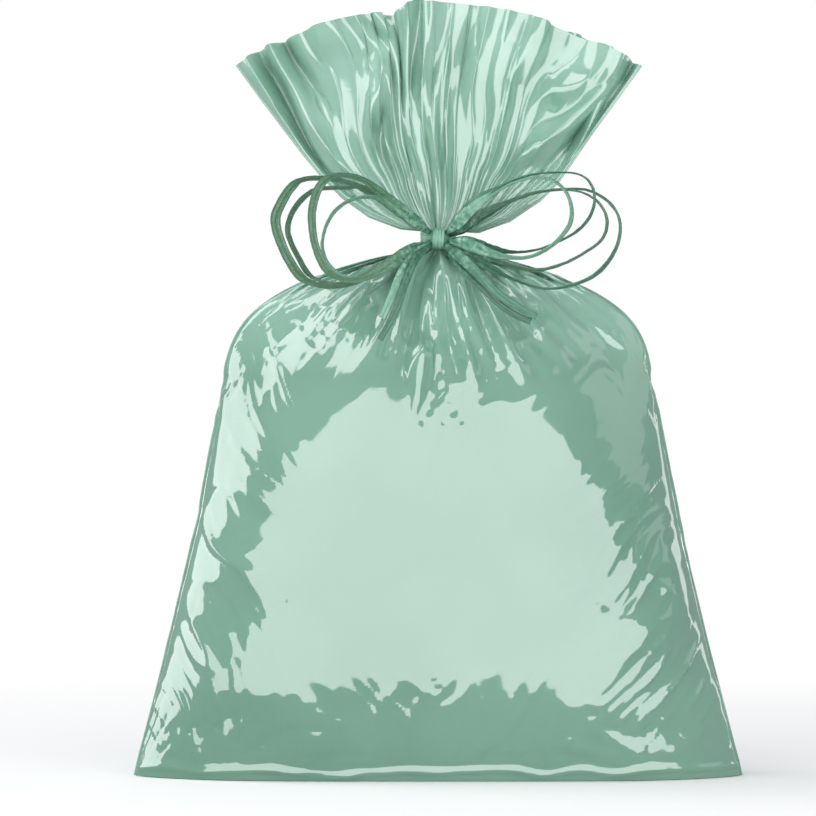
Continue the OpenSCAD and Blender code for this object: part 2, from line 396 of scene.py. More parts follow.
def two_tones(tree: bpy.types.NodeTree, mask: bpy.types.NodeSocket, low: tuple, high: tuple,
              start: float, end: float) -> bpy.types.NodeSocket:
    """A colour ramp from low, where mask is start, to high, where it is end; its colour socket."""
    node = new_node(tree, "ShaderNodeValToRGB")
    node.color_ramp.elements[0].position = start
    node.color_ramp.elements[0].color = (*low, 1)
    node.color_ramp.elements[1].position = end
    node.color_ramp.elements[1].color = (*high, 1)
    wire(tree, (mask, node.inputs["Fac"]))
    return node.outputs["Color"]


@dataclass(frozen=True)
class FilmFinish:
    """Glossy pearly film: a green body, painted lighter high up near the neck to lift the shade there, under
    a strong clear mirror.
    """

    name: str
    body: tuple = (0.118, 0.268, 0.190)
    body_light: tuple = (0.148, 0.310, 0.226)
    painted_neck_light: tuple = (0.250, 0.450, 0.355)
    painted_light_z: tuple = (200 * MM, 250 * MM)
    ior: float = 2.3
    roughness: float = 0.07
    crease_scale: float = 55.0
    crease_depth: float = 0.6 * MM

    def material(self) -> bpy.types.Material:
        """Builds the film's material: creases follow the mesh's own crumple attribute."""
        material, tree, principled = shader(self.name)
        place = new_node(tree, "ShaderNodeTexCoord")
        crumple = new_node(tree, "ShaderNodeAttribute", attribute_name="crumple")
        group = new_node(tree, "ShaderNodeGroup", node_tree=crinkle_group(), s_Scale=self.crease_scale)
        wire(tree, (place.outputs["Object"], group.inputs["Vector"]),
             (crumple.outputs["Fac"], group.inputs["Amount"]))
        bump = new_node(tree, "ShaderNodeBump", s_Strength=0.35, s_Distance=self.crease_depth)
        wire(tree, (group.outputs["Height"], bump.inputs["Height"]),
             (bump.outputs["Normal"], principled.inputs["Normal"]))
        tone = two_tones(tree, group.outputs["Tone"], self.body, self.body_light, 0.38, 0.62)
        height = new_node(tree, "ShaderNodeSeparateXYZ")
        wire(tree, (place.outputs["Object"], height.inputs[0]))
        # Painted light: the body turns to a lighter colour from the band's low height to its high one, near
        # the neck.
        low, high = self.painted_light_z
        neck_light_share = new_node(tree, "ShaderNodeMapRange", s_From_Min=low, s_From_Max=high)
        wire(tree, (height.outputs["Z"], neck_light_share.inputs["Value"]))
        neck_lit = new_node(tree, "ShaderNodeMix", data_type="RGBA")
        neck_lit.inputs[7].default_value = (*self.painted_neck_light, 1)
        wire(tree, (neck_light_share.outputs[0], neck_lit.inputs[0]), (tone, neck_lit.inputs[6]),
             (neck_lit.outputs[2], principled.inputs["Base Color"]))
        principled.inputs["IOR"].default_value = self.ior
        principled.inputs["Roughness"].default_value = self.roughness
        return material


@dataclass(frozen=True)
class RaffiaFinish:
    """Satin paper raffia: fibres along the strand, and creases across it near the knot, where its colour
    holds flecks of painted highlight.
    """

    name: str
    dark: tuple
    light: tuple
    near_dark: tuple = (0.042, 0.175, 0.105)
    knot_highlight: tuple = (0.330, 0.560, 0.440)
    roughness: float = 0.34
    fibre_depth: float = 0.25 * MM

    def material(self) -> bpy.types.Material:
        """Builds the raffia's material from the strand's own UV map."""
        material, tree, principled = shader(self.name)
        uv = new_node(tree, "ShaderNodeUVMap", uv_map="Strand")
        stretch = new_node(tree, "ShaderNodeMapping")
        stretch.inputs["Scale"].default_value = (14.0, 55.0, 1.0)
        fibres = new_node(tree, "ShaderNodeTexNoise", s_Scale=1.0, s_Detail=3.0, s_Roughness=0.6)
        wire(tree, (uv.outputs["UV"], stretch.inputs["Vector"]),
             (stretch.outputs["Vector"], fibres.inputs["Vector"]))
        tone = two_tones(tree, fibres.outputs["Fac"], self.dark, self.light, 0.33, 0.68)
        place = new_node(tree, "ShaderNodeTexCoord")
        crumple = new_node(tree, "ShaderNodeAttribute", attribute_name="crumple")
        amount = new_node(tree, "ShaderNodeMath", operation="MULTIPLY_ADD", s_1=0.9, s_2=0.35)
        wire(tree, (crumple.outputs["Fac"], amount.inputs[0]))
        group = new_node(tree, "ShaderNodeGroup", node_tree=crinkle_group(), s_Scale=420.0)
        wire(tree, (place.outputs["Object"], group.inputs["Vector"]),
             (amount.outputs[0], group.inputs["Amount"]))
        # Painted highlight: near the knot the colour turns to flecks of dark and of a light glint colour, as
        # the crumple amount grows.
        highlight_fleck_mask = new_node(tree, "ShaderNodeTexNoise", s_Scale=330.0, s_Detail=3.0, s_Roughness=0.6)
        wire(tree, (place.outputs["Object"], highlight_fleck_mask.inputs["Vector"]))
        knot_highlight_tone = two_tones(tree, highlight_fleck_mask.outputs["Fac"], self.near_dark, self.knot_highlight, 0.44, 0.70)
        with_knot_highlights = new_node(tree, "ShaderNodeMix", data_type="RGBA")
        wire(tree, (crumple.outputs["Fac"], with_knot_highlights.inputs[0]), (tone, with_knot_highlights.inputs[6]),
             (knot_highlight_tone, with_knot_highlights.inputs[7]), (with_knot_highlights.outputs[2], principled.inputs["Base Color"]))
        both = new_node(tree, "ShaderNodeMath", operation="ADD")
        wire(tree, (fibres.outputs["Fac"], both.inputs[0]), (group.outputs["Height"], both.inputs[1]))
        bump = new_node(tree, "ShaderNodeBump", s_Strength=0.9, s_Distance=self.fibre_depth)
        wire(tree, (both.outputs[0], bump.inputs["Height"]),
             (bump.outputs["Normal"], principled.inputs["Normal"]))
        principled.inputs["Roughness"].default_value = self.roughness
        principled.inputs["IOR"].default_value = 1.6
        return material


@dataclass(frozen=True)
class PaperFinish:
    """Crumpled tissue paper, seen only if the sack is opened."""

    name: str
    colour: tuple = (0.78, 0.77, 0.73)

    def material(self) -> bpy.types.Material:
        """Builds the paper's material: creased, matte and a little uneven in tone."""
        material, tree, principled = shader(self.name)
        place = new_node(tree, "ShaderNodeTexCoord")
        group = new_node(tree, "ShaderNodeGroup", node_tree=crinkle_group(), s_Scale=60.0, s_Amount=1.0)
        wire(tree, (place.outputs["Object"], group.inputs["Vector"]))
        darker = tuple(c * 0.86 for c in self.colour)
        tone = two_tones(tree, group.outputs["Tone"], darker, self.colour, 0.35, 0.65)
        wire(tree, (tone, principled.inputs["Base Color"]))
        bump = new_node(tree, "ShaderNodeBump", s_Strength=0.8, s_Distance=1.5 * MM)
        wire(tree, (group.outputs["Height"], bump.inputs["Height"]),
             (bump.outputs["Normal"], principled.inputs["Normal"]))
        principled.inputs["Roughness"].default_value = 0.8
        return material


class Tone(Enum):
    """The raffia's four tones."""

    # The last two colours of each tone are the dark and the painted highlight of the flecks near the knot;
    # olive takes the defaults.
    DARK = RaffiaFinish("raffia_dark", (0.026, 0.120, 0.072), (0.085, 0.240, 0.155),
                        (0.030, 0.135, 0.080), (0.200, 0.400, 0.290))
    DEEP = RaffiaFinish("raffia_deep", (0.020, 0.095, 0.056), (0.070, 0.200, 0.130),
                        (0.020, 0.100, 0.058), (0.110, 0.270, 0.185))
    OLIVE = RaffiaFinish("raffia_olive", (0.055, 0.140, 0.075), (0.120, 0.235, 0.145))
    LIGHT = RaffiaFinish("raffia_light", (0.060, 0.210, 0.130), (0.260, 0.480, 0.350),
                         (0.075, 0.240, 0.155), (0.420, 0.640, 0.530))


@dataclass
class Wardrobe:
    """Every material of the sack, each made once."""

    made: dict = field(default_factory=dict)

    def dress(self, obj: bpy.types.Object, finish: object) -> bpy.types.Object:
        """Gives obj the finish's material.

        Args:
            obj: the piece.
            finish: a finish with a name and a material method.

        Returns:
            The piece.
        """
        if finish.name not in self.made:
            self.made[finish.name] = finish.material()
        obj.data.materials.clear()
        obj.data.materials.append(self.made[finish.name])
        return obj


FILM = FilmFinish("mint_film")
WELD = FilmFinish("mint_weld", painted_light_z=NO_PAINTED_LIGHT, roughness=0.14, crease_scale=220.0, crease_depth=0.2 * MM)
# The flare's film is a lighter copy of the pouch's film: painted light for the light that its thin folds
# catch and let through.
LIGHTENED_FLARE_FILM = FilmFinish("mint_film_flare_painted_light", body=(0.190, 0.370, 0.280), body_light=(0.265, 0.455, 0.365),
                        painted_light_z=NO_PAINTED_LIGHT, roughness=0.13, crease_scale=110.0, crease_depth=0.5 * MM)
PAPER = PaperFinish("tissue_paper")


def pressed_strip(name: str, node: str, path: np.ndarray, across: np.ndarray, width: float, rise: float,
                  wardrobe: Wardrobe) -> bpy.types.Object:
    """A pressed weld: a flat profile carried along a path, whose face rises and falls every 1.6 mm.

    Args:
        name: the piece's name.
        node: the CAD node that it stands for.
        path: its middle line.
        across: the way that its width lies, at each point of the path.
        width: its width.
        rise: how far its face rises.
        wardrobe: where its material is.

    Returns:
        The strip.
    """
    grid, uv = ribbon_grid(path, across, width, WELD_THICK, WELD_AROUND,
                           lambda share, along: rise * np.sin(2 * np.pi * along / WELD_PITCH) * np.cos(share))
    return stand_in(wardrobe.dress(tube_object(name, grid, uv=uv, crumple=0.4), WELD), node)


# ---------------------------------------------------------------- the pouch


@dataclass
class Pouch:
    """The filled pouch: front and back film, base, side welds, contents and gathered neck."""

    base_depth: float = 80 * MM
    belly_swell: float = 44 * MM
    belly_z: float = 0.088
    fall_z: float = 0.150
    width_fall: float = 4.8
    depth_fall: float = 1.9
    fan_z: float = 0.292
    fold_z: float = 0.179
    rows: int = 118
    half_cols: int = 128
    pleats: float = 21.0
    film_length: float = 600 * MM
    slack_side: float = 0.06
    slack_up: float = 0.045
    frames: int = 24
    most_move: float = 8 * MM
    weld_width: float = 2.6 * MM
    weld_points: int = 420
    neck_folds: int = 18
    base_rows: int = 40

    def half_width(self, z: np.ndarray) -> np.ndarray:
        """Half width: a straight taper, drawn in to the throat by the 4.8th power of the shoulder share."""
        side = BASE_HALF - (BASE_HALF - SHOULDER_HALF) * z / SHOULDER_Z
        share = clamp01((z - SHOULDER_Z) / (NECK_Z - SHOULDER_Z))
        return THROAT_R + (side - THROAT_R) * (1 - share**self.width_fall)

    def half_depth(self, z: np.ndarray) -> np.ndarray:
        """Half depth: a base that swells to the belly by a quarter sine, then falls to the throat."""
        belly = (self.base_depth + self.belly_swell * np.sin(np.pi / 2 * clamp01(z / self.belly_z))) / 2
        fall = clamp01((z - self.fall_z) / (NECK_Z - self.fall_z)) ** self.depth_fall
        return THROAT_R + (belly - THROAT_R) * (1 - fall)

    def section(self, u: np.ndarray, z: np.ndarray) -> np.ndarray:
        """Share of the half depth at share u of the half width: flat in the belly, round at the neck."""
        k = ramp(z, SHOULDER_Z, NECK_Z)
        low = 1 - ramp(z, 0.030, 0.120)
        return (1 - np.abs(u) ** (3.8 + 1.0 * low - 1.8 * k)) ** (0.85 - 0.35 * k)

    def depth_over(self, u: np.ndarray, z: np.ndarray) -> np.ndarray:
        """Half depth read up to 39 mm higher towards the sides, so that the flat front ends in an arch."""
        sides = 1 - np.exp(-((np.abs(u) / 0.70) ** 4.6))
        lift = 0.039 * sides * ramp(z, 0.095, 0.185) * (1 - 0.75 * ramp(z, 0.205, 0.255))
        return self.half_depth(np.minimum(z + lift, NECK_Z))

    def heights(self) -> np.ndarray:
        """Heights of the rows, spaced evenly along the mean of the side and front outlines."""
        z = np.linspace(0, NECK_Z, 4000)
        side = lengths(np.stack([self.half_width(z), z], 1))
        front = lengths(np.stack([self.half_depth(z), z], 1))
        run = side + front
        even = np.interp(np.linspace(0, run[-1], self.rows - 6), run, z)
        return np.concatenate([even, NECK_Z + np.arange(1, 7) * 1.6 * MM])

    def pleat_offset(self, z: np.ndarray, around: np.ndarray, ring: np.ndarray, x: np.ndarray) -> np.ndarray:
        """How far the gathered pleats stand out.

        A zigzag around the ring, as deep as the film to be taken up makes it, that begins low
        in the middle of the front and high at the shoulders.

        Args:
            z: heights.
            around: share of the way round, from 0 to 1.
            ring: the ring's length at each height.
            x: where each point is across.

        Returns:
            The offset at each point.
        """
        phase = 2 * np.pi * (self.pleats * around + 1.5 * (noise(around * 10, 0.0, 3) - 0.5)
                             + 0.25 * (noise(around * 24, z * 26, 4) - 0.5))
        spare = np.sqrt(np.maximum(0, 1 - (ring / self.film_length) ** 2))
        deep = np.minimum(self.film_length / self.pleats / 4 * spare, 0.42 * ring / (2 * np.pi))
        middle = np.exp(-(((x - 9 * MM) / (42 * MM)) ** 2))
        start = 0.238 - 0.046 * middle + 0.016 * (noise(around * self.pleats, 0.0, 5) - 0.5)
        on = ease((z - start) / (0.256 - start)) * (1 - 0.3 * ramp(z, 0.257, 0.262))
        jitter = 0.55 + 0.9 * noise(around * self.pleats * 1.3, z * 24, 8)
        return deep * on * (0.85 * fold_wave(phase) - 0.25) * jitter

    def slanted(self, x: np.ndarray, z: np.ndarray, seed: int) -> tuple[np.ndarray, np.ndarray, np.ndarray]:
        """Place across and along the side wrinkles, which fall from outside to inside, and their bend."""
        turn = np.where(x < 0, 0.50, 0.66)
        level = np.sqrt(1 - turn**2)
        bend = 9 * MM * (noise(x * 32, z * 32, seed + 1) - 0.5)
        return level * np.abs(x) - turn * z + bend, turn * np.abs(x) + level * z, bend

    def side_crests(self, x: np.ndarray, z: np.ndarray, u: np.ndarray, seed: int) -> np.ndarray:
        """Long, short and tiny slanted crests in a band at each side, calmer high up."""
        cross, along, bend = self.slanted(x, z, seed)
        long_crests = np.where(x < 0, crests(cross / 0.014, along / 0.085, seed + 3, 7.0),
                               crests(cross / 0.011, along / 0.055, seed + 9, 7.0))
        short = crests(cross / 0.0080, along / 0.034, seed + 14, 5.0)
        tiny = crests((cross + 2 * bend) / 0.0062, along / 0.015, seed + 17, 3.0)
        band = ramp(np.abs(u), 0.56, 0.78) * (1 - 0.92 * ramp(np.abs(u), 0.88, 0.975))
        high = ramp(z, 0.018, 0.050) * (1 - ramp(z, 0.185, 0.235))
        calm_left = 1 - 0.55 * ramp(z, 0.150, 0.185) - 0.4 * (1 - ramp(z, 0.040, 0.075))
        calm = np.where(x > 0, 1 - 0.90 * ramp(z, 0.125, 0.160), calm_left)
        curls = np.where((x > 0) & (z < 0.150), 0.75, 0.40)
        return band * high * calm * (2.3 * MM * long_crests + 1.05 * MM * short + curls * MM * tiny)

    def seam_puckers(self, x: np.ndarray, z: np.ndarray, seed: int) -> np.ndarray:
        """Upright puckers and level rolls over the bottom seam, and the seam's own uneven ridge."""
        bend = self.slanted(x, z, seed)[2]
        low = (1 - ramp(z, 0.034, 0.060)) * ramp(z, 0.008, 0.016)
        puckers = crests((x + 1.5 * bend) / 0.010, z / 0.050, seed + 21, 4.0)
        rolls = crests(x / 0.110 + bend / 0.012, z / 0.0085, seed + 27, 3.0) * (1 - ramp(z, 0.014, 0.026))
        line = 4.4 * MM + 4.0 * MM * (noise(x / 0.017, 0.0, seed + 45) - 0.5)
        height = 1.3 * MM * (0.5 + 0.9 * noise(x / 0.010, 0.0, seed + 46))
        ridge = height * np.exp(-(((z - line) / (1.5 * MM)) ** 2))
        return low * (0.70 * MM * puckers + 0.25 * MM * rolls) + ridge

    def neck_fan(self, x: np.ndarray, z: np.ndarray, seed: int) -> np.ndarray:
        """Facets that spread from a point above the neck: two zigzags across its rays, and thin crests."""
        reach = self.fan_z - z
        ray = (x - 3 * MM) / reach
        foot = 0.182 + 0.022 * noise(ray * 5.5, 0.0, seed + 30)
        place = np.exp(-(((x - 9 * MM) / (48 * MM)) ** 2))
        place = place * ramp(z, foot, foot + 0.024) * (1 - ramp(z, 0.246, 0.256))
        wide = 3.7 * ray + reach / 0.130 + 0.6 * noise(ray * 2, reach * 18, seed + 31)
        fine = 6.9 * ray - reach / 0.090 + 0.6 * noise(ray * 3, reach * 18, seed + 35)
        kites = 0.031 * fold_wave(2 * np.pi * wide) + 0.019 * fold_wave(2 * np.pi * fine)
        return place * (reach * kites + 0.7 * MM * crests(ray * 11, z / 0.060, seed + 36, 7.0))

    def pointed_fold(self, x: np.ndarray, z: np.ndarray) -> np.ndarray:
        """One fold like a tent, that widens upwards from its point over the flat middle."""
        lean = x + 12 * MM - 0.14 * (z - self.fold_z)
        width = 1.6 * MM + 0.30 * np.maximum(0, z - self.fold_z)
        tent = 0.85 * width * np.maximum(0, 1 - np.abs(lean / width))
        return tent * ramp(z, 0.176, 0.181) * (1 - ramp(z, 0.205, 0.22))

    def fine_marks(self, x: np.ndarray, z: np.ndarray, u: np.ndarray, seed: int) -> np.ndarray:
        """Faint slanted streaks all over, and short sharp ones round the flat middle, which fray its edge."""
        cross, along, bend = self.slanted(x, z, seed)
        streaks = 0.30 * MM * crests(cross / 0.026, along / 0.120, seed + 40, 1.5) * (1 - ramp(z, 0.20, 0.23))
        border = ramp(np.abs(u), 0.46, 0.60) * (1 - ramp(np.abs(u), 0.84, 0.92)) + 1 - ramp(z, 0.040, 0.062)
        border = clamp01(border + ramp(z, 0.176, 0.190)) * (1 - ramp(z, 0.215, 0.240)) * ramp(z, 0.010, 0.020)
        return streaks + 0.50 * MM * border * crests((cross + bend) / 0.0062, along / 0.026, seed + 50, 2.5)

    def wrinkle_offset(self, x: np.ndarray, z: np.ndarray, u: np.ndarray, seed: int) -> np.ndarray:
        """How far the film's own wrinkles stand out: the sum of every kind of them.

        Args:
            x: where each point is across.
            z: heights.
            u: share of the half width, from -1 to 1.
            seed: another pattern for the back.

        Returns:
            The offset at each point.
        """
        return (self.side_crests(x, z, u, seed) + self.seam_puckers(x, z, seed) + self.neck_fan(x, z, seed)
                + self.pointed_fold(x, z) + self.fine_marks(x, z, u, seed))

    def lump_offset(self, x: np.ndarray, z: np.ndarray, u: np.ndarray, seed: int) -> np.ndarray:
        """Slow lumps round the flat middle, from noise 20 mm across, before the film settles."""
        sides = 0.85 * ramp(np.abs(u), 0.50, 0.72) * (1 - 0.8 * ramp(np.abs(u), 0.90, 0.98))
        place = sides + 0.35 * (1 - ramp(z, 0.030, 0.056)) + 0.35 * ramp(z, 0.180, 0.205)
        slow = noise(x / 0.020, z / 0.020, seed + 33) - 0.5
        return clamp01(place) * 3.2 * MM * slow * (1 - ramp(z, 0.225, 0.250))

    def start_grid(self) -> np.ndarray:
        """The pouch before it settles: the points of a tube of rows by twice half_cols."""
        z = self.heights()[:, None]
        half = np.linspace(-1, 1, self.half_cols + 1)
        t = np.concatenate([half, half[::-1][1:-1]])[None, :]
        face = np.concatenate([-np.ones(self.half_cols + 1), np.ones(self.half_cols - 1)])[None, :]
        zz = np.minimum(z, NECK_Z)
        u = np.sin(np.pi / 2 * t) * np.ones_like(z)
        x, y = u * self.half_width(zz), face * self.depth_over(u, zz) * self.section(u, zz)
        pinch = 1 - 0.16 * ramp(z, 0.2575, 0.2635)
        grid = np.stack([x * pinch, y * pinch, z + 0 * x], -1)
        ring = np.linalg.norm(grid - np.roll(grid, 1, 1), axis=-1).sum(1)[:, None]
        around = (np.arange(grid.shape[1]) / grid.shape[1])[None, :]
        way = np.roll(grid, -1, 1) - np.roll(grid, 1, 1)
        flat_out = unit(np.stack([way[..., 1], -way[..., 0], 0 * way[..., 0]], -1))
        pleated = self.pleat_offset(z, around, ring, x)
        front, back = self.lump_offset(x, z, u, FRONT_SEED), self.lump_offset(x, z, u, BACK_SEED)
        lumps = np.where(face < 0, front, back)
        wrinkled = lumps * (1 - ramp(np.abs(u), 0.985, 1.0))
        grid = grid + flat_out * pleated[..., None] + grid_normals(grid, True) * wrinkled[..., None]
        grid[..., 2] = np.maximum(grid[..., 2], FLOOR_GAP)
        return grid

    def flat_grid(self, grid: np.ndarray) -> np.ndarray:
        """The film laid flat, front on back, a little larger than it is now where it is slack.

        Across is the mean running length of the front and back rows from their middle, and up
        is the same along the columns; each is stretched by its slack away from the flat middle.

        Args:
            grid: the tube's points.

        Returns:
            The tube's points, laid flat.
        """
        half = self.half_cols
        front = grid[:, : half + 1]
        back = np.concatenate([grid[:, half:], grid[:, :1]], 1)[:, ::-1]
        across = (lengths(front, 1) + lengths(back, 1)) / 2
        up = (lengths(front, 0) + lengths(back, 0)) / 2
        centre = across - across[:, half // 2 : half // 2 + 1]
        share = np.abs(centre) / np.maximum(np.abs(centre[:, -1:]), 1e-9)
        slack = ramp(share, 0.35, 0.80)
        low = 1 - ramp(grid[:, :1, 2], 0.02, 0.07)
        centre = centre * (1 + self.slack_side * (0.25 + 0.75 * np.maximum(slack, low)))
        up = up * (1 + self.slack_up * (0.2 + 0.8 * slack))
        flat = np.zeros_like(grid)
        flat[:, : half + 1] = np.stack([centre, 0 * centre - 0.5 * MM, up], -1)
        flat[:, half + 1 :] = np.stack([centre, 0 * centre + 0.5 * MM, up], -1)[:, 1:-1][:, ::-1]
        return flat

    def settle(self, grid: np.ndarray) -> np.ndarray:
        """Lets the film settle as cloth under a little air pressure, pinned at its seam and neck.

        How far a point moves is held under most_move by a hyperbolic tangent.

        Args:
            grid: the tube's points.

        Returns:
            The settled points.
        """
        obj = grid_object("settling_film", grid, wrap_cols=True)
        obj.shape_key_add(name="Basis")
        cut = obj.shape_key_add(name="cut")
        cut.data.foreach_set("co", self.flat_grid(grid).reshape(-1).astype(np.float32))
        cut.value = 0
        held = np.zeros(grid.shape[:2])
        held[grid[..., 2] < 8.5 * MM] = 1
        held[-10:] = 1
        group = obj.vertex_groups.new(name="held")
        group.add(np.nonzero(held.reshape(-1))[0].tolist(), 1.0, "REPLACE")
        cloth = obj.modifiers.new("cloth", "CLOTH")
        film = cloth.settings
        film.quality, film.mass, film.air_damping = 4, 0.1, 1.0
        film.tension_stiffness = film.compression_stiffness = film.shear_stiffness = 18.0
        film.tension_damping = film.compression_damping = film.shear_damping = 1.0
        film.bending_stiffness, film.bending_damping = 0.02, 0.5
        film.use_pressure, film.uniform_pressure_force = True, 3.0
        film.effector_weights.gravity = 0
        film.vertex_group_mass, film.pin_stiffness = "held", 1.0
        film.rest_shape_key = cut
        cloth.collision_settings.use_collision = False
        cloth.point_cache.frame_start, cloth.point_cache.frame_end = 1, self.frames
        for number in range(1, self.frames + 1):
            bpy.context.scene.frame_set(number)
        shown = obj.evaluated_get(bpy.context.evaluated_depsgraph_get())
        settled = np.zeros(len(obj.data.vertices) * 3, np.float32)
        shown.data.vertices.foreach_get("co", settled)
        mesh = obj.data
        bpy.data.objects.remove(obj)
        bpy.data.meshes.remove(mesh)
        bpy.context.scene.frame_set(1)
        move = settled.reshape(grid.shape).astype(float) - grid
        size = np.linalg.norm(move, axis=-1, keepdims=True)
        log.info("film settled: moved %.1f mm at most, %.1f mm on average", size.max() / MM, size.mean() / MM)
        return grid + move * np.tanh(size / self.most_move) * self.most_move / np.maximum(size, 1e-9)

    def wrinkled(self, grid: np.ndarray) -> tuple[np.ndarray, np.ndarray]:
        """The settled film on a grid twice as fine, with its own wrinkles over it.

        Args:
            grid: the settled points.

        Returns:
            The finer points, and how much each is crumpled, from 0 to 1.
        """
        grid = finer(finer(grid, 0, False), 1, True)
        x, z = grid[..., 0], grid[..., 2]
        u = np.clip(x / self.half_width(np.minimum(z, NECK_Z)), -1, 1)
        column = np.arange(grid.shape[1])[None, :]
        front, back = self.wrinkle_offset(x, z, u, FRONT_SEED), self.wrinkle_offset(x, z, u, BACK_SEED)
        turned = 2 * self.half_cols
        offset = np.where(column < turned, front, back)
        to_edge = np.minimum(np.abs(column - turned), np.minimum(column, grid.shape[1] - column))
        offset = offset * ramp(to_edge, 0, 7)
        grid = grid + grid_normals(grid, True) * offset[..., None]
        grid[..., 2] = np.maximum(grid[..., 2], FLOOR_GAP)
        amount = clamp01(np.abs(u) ** 3 + 1 - ramp(z, 0.02, 0.06) + ramp(z, 0.19, 0.23)) * 0.8 + 0.12
        return grid, amount

    def weld(self, name: str, node: str, edge: np.ndarray, side: int, wardrobe: Wardrobe) -> None:
        """A pressed strip along one side edge of the film: the left where side is -1, the right where 1."""
        path = even_points(edge, self.weld_points)
        path[:, 0] += side * 0.5 * MM
        across = np.tile([side * 0.80, 0.60, 0.25], (len(path), 1))
        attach(pressed_strip(name, node, path, across, self.weld_width, 0.12 * MM, wardrobe), "sack")

    def contents(self, wardrobe: Wardrobe) -> None:
        """The crumpled paper inside: the pouch's own form at 0.9 of its size, closed and creased."""
        v = np.linspace(0, 1, 64)[:, None]
        q = np.linspace(0, 2 * np.pi, 128, endpoint=False)[None, :]
        z = 0.008 + 0.215 * (1 - np.cos(np.pi * v)) / 2
        close = np.sqrt(np.maximum(0, 1 - np.abs(2 * v - 1) ** 5))
        u = np.sign(np.cos(q)) * np.abs(np.cos(q)) ** 0.7
        wide, deep = self.half_width(z) * 0.90, self.depth_over(u * 0.90, z) * 0.82
        x = u * wide * close
        y = np.sign(np.sin(q)) * np.abs(np.sin(q)) ** 0.8 * deep * close
        dent = 1 - 0.05 * crests(q * 4 / np.pi * 2, z * 40, 5, 2) - 0.04 * noise(q * 6, z * 60, 9)
        obj = tube_object("sack_contents", np.stack([x * dent, y * dent, z + 0 * x], -1))
        stand_in(wardrobe.dress(obj, PAPER), "stuffing", "sack")

    def neck(self, wardrobe: Wardrobe) -> None:
        """The gathered core of the neck: a closed column whose radius swings at each fold."""
        v = np.linspace(0, 1, 24)[:, None]
        q = np.linspace(0, 2 * np.pi, 216, endpoint=False)[None, :]
        low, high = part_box("neck_gather")
        z = low[2] + (high[2] - low[2]) * v
        swing = fold_wave(self.neck_folds * q + 1.2 * noise(q * 3, 0.0, 2))
        r = (5.2 + 1.1 * swing + 0.5 * noise(q * 5, z * 200, 6)) * MM * (1 - 0.25 * np.abs(2 * v - 1) ** 6)
        obj = tube_object("neck_core", np.stack([r * np.cos(q), r * np.sin(q), z + 0 * r], -1), crumple=0.5)
        stand_in(wardrobe.dress(obj, FILM), "neck_gather", "sack")

    def base(self, ring: np.ndarray, wardrobe: Wardrobe) -> None:
        """The base film: straight lines between the halves of the tube's lowest row, lifted by creases."""
        half = self.half_cols * 2
        front, back = ring[: half + 1], np.concatenate([ring[half:], ring[:1]])[::-1]
        s = np.linspace(0, 1, self.base_rows)[:, None, None]
        grid = back[None] * (1 - s) + front[None] * s
        middle = (4 * s * (1 - s))[..., 0]
        creases = crests(grid[..., 0] / 0.03, grid[..., 1] / 0.03, 12, 2)
        grid[..., 2] += middle * (0.5 * MM + 1.2 * MM * creases)
        obj = wardrobe.dress(grid_object("sack_base", grid, crumple=0.5), FILM)
        stand_in(obj, "base_panel", "sack")

    def build(self, wardrobe: Wardrobe) -> None:
        """Builds and dresses every piece of the pouch."""
        grid = self.start_grid()
        grid = self.settle(grid)
        grid, amount = self.wrinkled(grid)
        half = self.half_cols * 2
        for name, node, cols in (
            ("sack_film_front", "front_panel", np.arange(half + 1)),
            ("sack_film_back", "back_panel", np.append(np.arange(half, 2 * half), 0)),
        ):
            obj = wardrobe.dress(grid_object(name, grid[:, cols], crumple=amount[:, cols]), FILM)
            stand_in(obj, node, "sack")
        below = grid[:, :, 2] < NECK_Z - 3 * MM
        self.weld("sack_left_weld", "left_side_weld", grid[below[:, 0], 0], -1, wardrobe)
        self.weld("sack_right_weld", "right_side_weld", grid[below[:, half], half], 1, wardrobe)
        self.base(grid[0], wardrobe)
        self.contents(wardrobe)
        self.neck(wardrobe)
        log.info("pouch done")


# ---------------------------------------------------------------- the flare


@dataclass(frozen=True)
class FoldFamily:
    """Folds of one size: how many to half the fan, how they drift, how steep they are and where they fade."""

    count: float
    drift: float
    slope: float
    number: int
    change: float
    fade: float = 0.0
    fade_from: float = 0.0
    fade_to: float = 1.0

    def wave(self, a: np.ndarray, r: np.ndarray, half: np.ndarray, seed: int) -> np.ndarray:
        """A zigzag of an even slope, strong and weak in patches, that fades towards the rim.

        Args:
            a: share of the half width, from -1 to 1.
            r: share of the way up.
            half: the fan's half width.
            seed: another pattern for each sheet.

        Returns:
            How far the folds stand out at each point.
        """
        wander = 1.4 * noise(a * 3.5, r * self.change, seed + self.number)
        phase = 2 * np.pi * (self.count * a + self.drift * r + wander)
        patch = 0.15 + 1.7 * noise(a * 6, r * 1.4 * self.change, seed + self.number + 1)
        folds = patch * self.slope * half / (4 * self.count) * fold_wave(phase)
        return folds * (1 - self.fade * ramp(r, self.fade_from, self.fade_to))


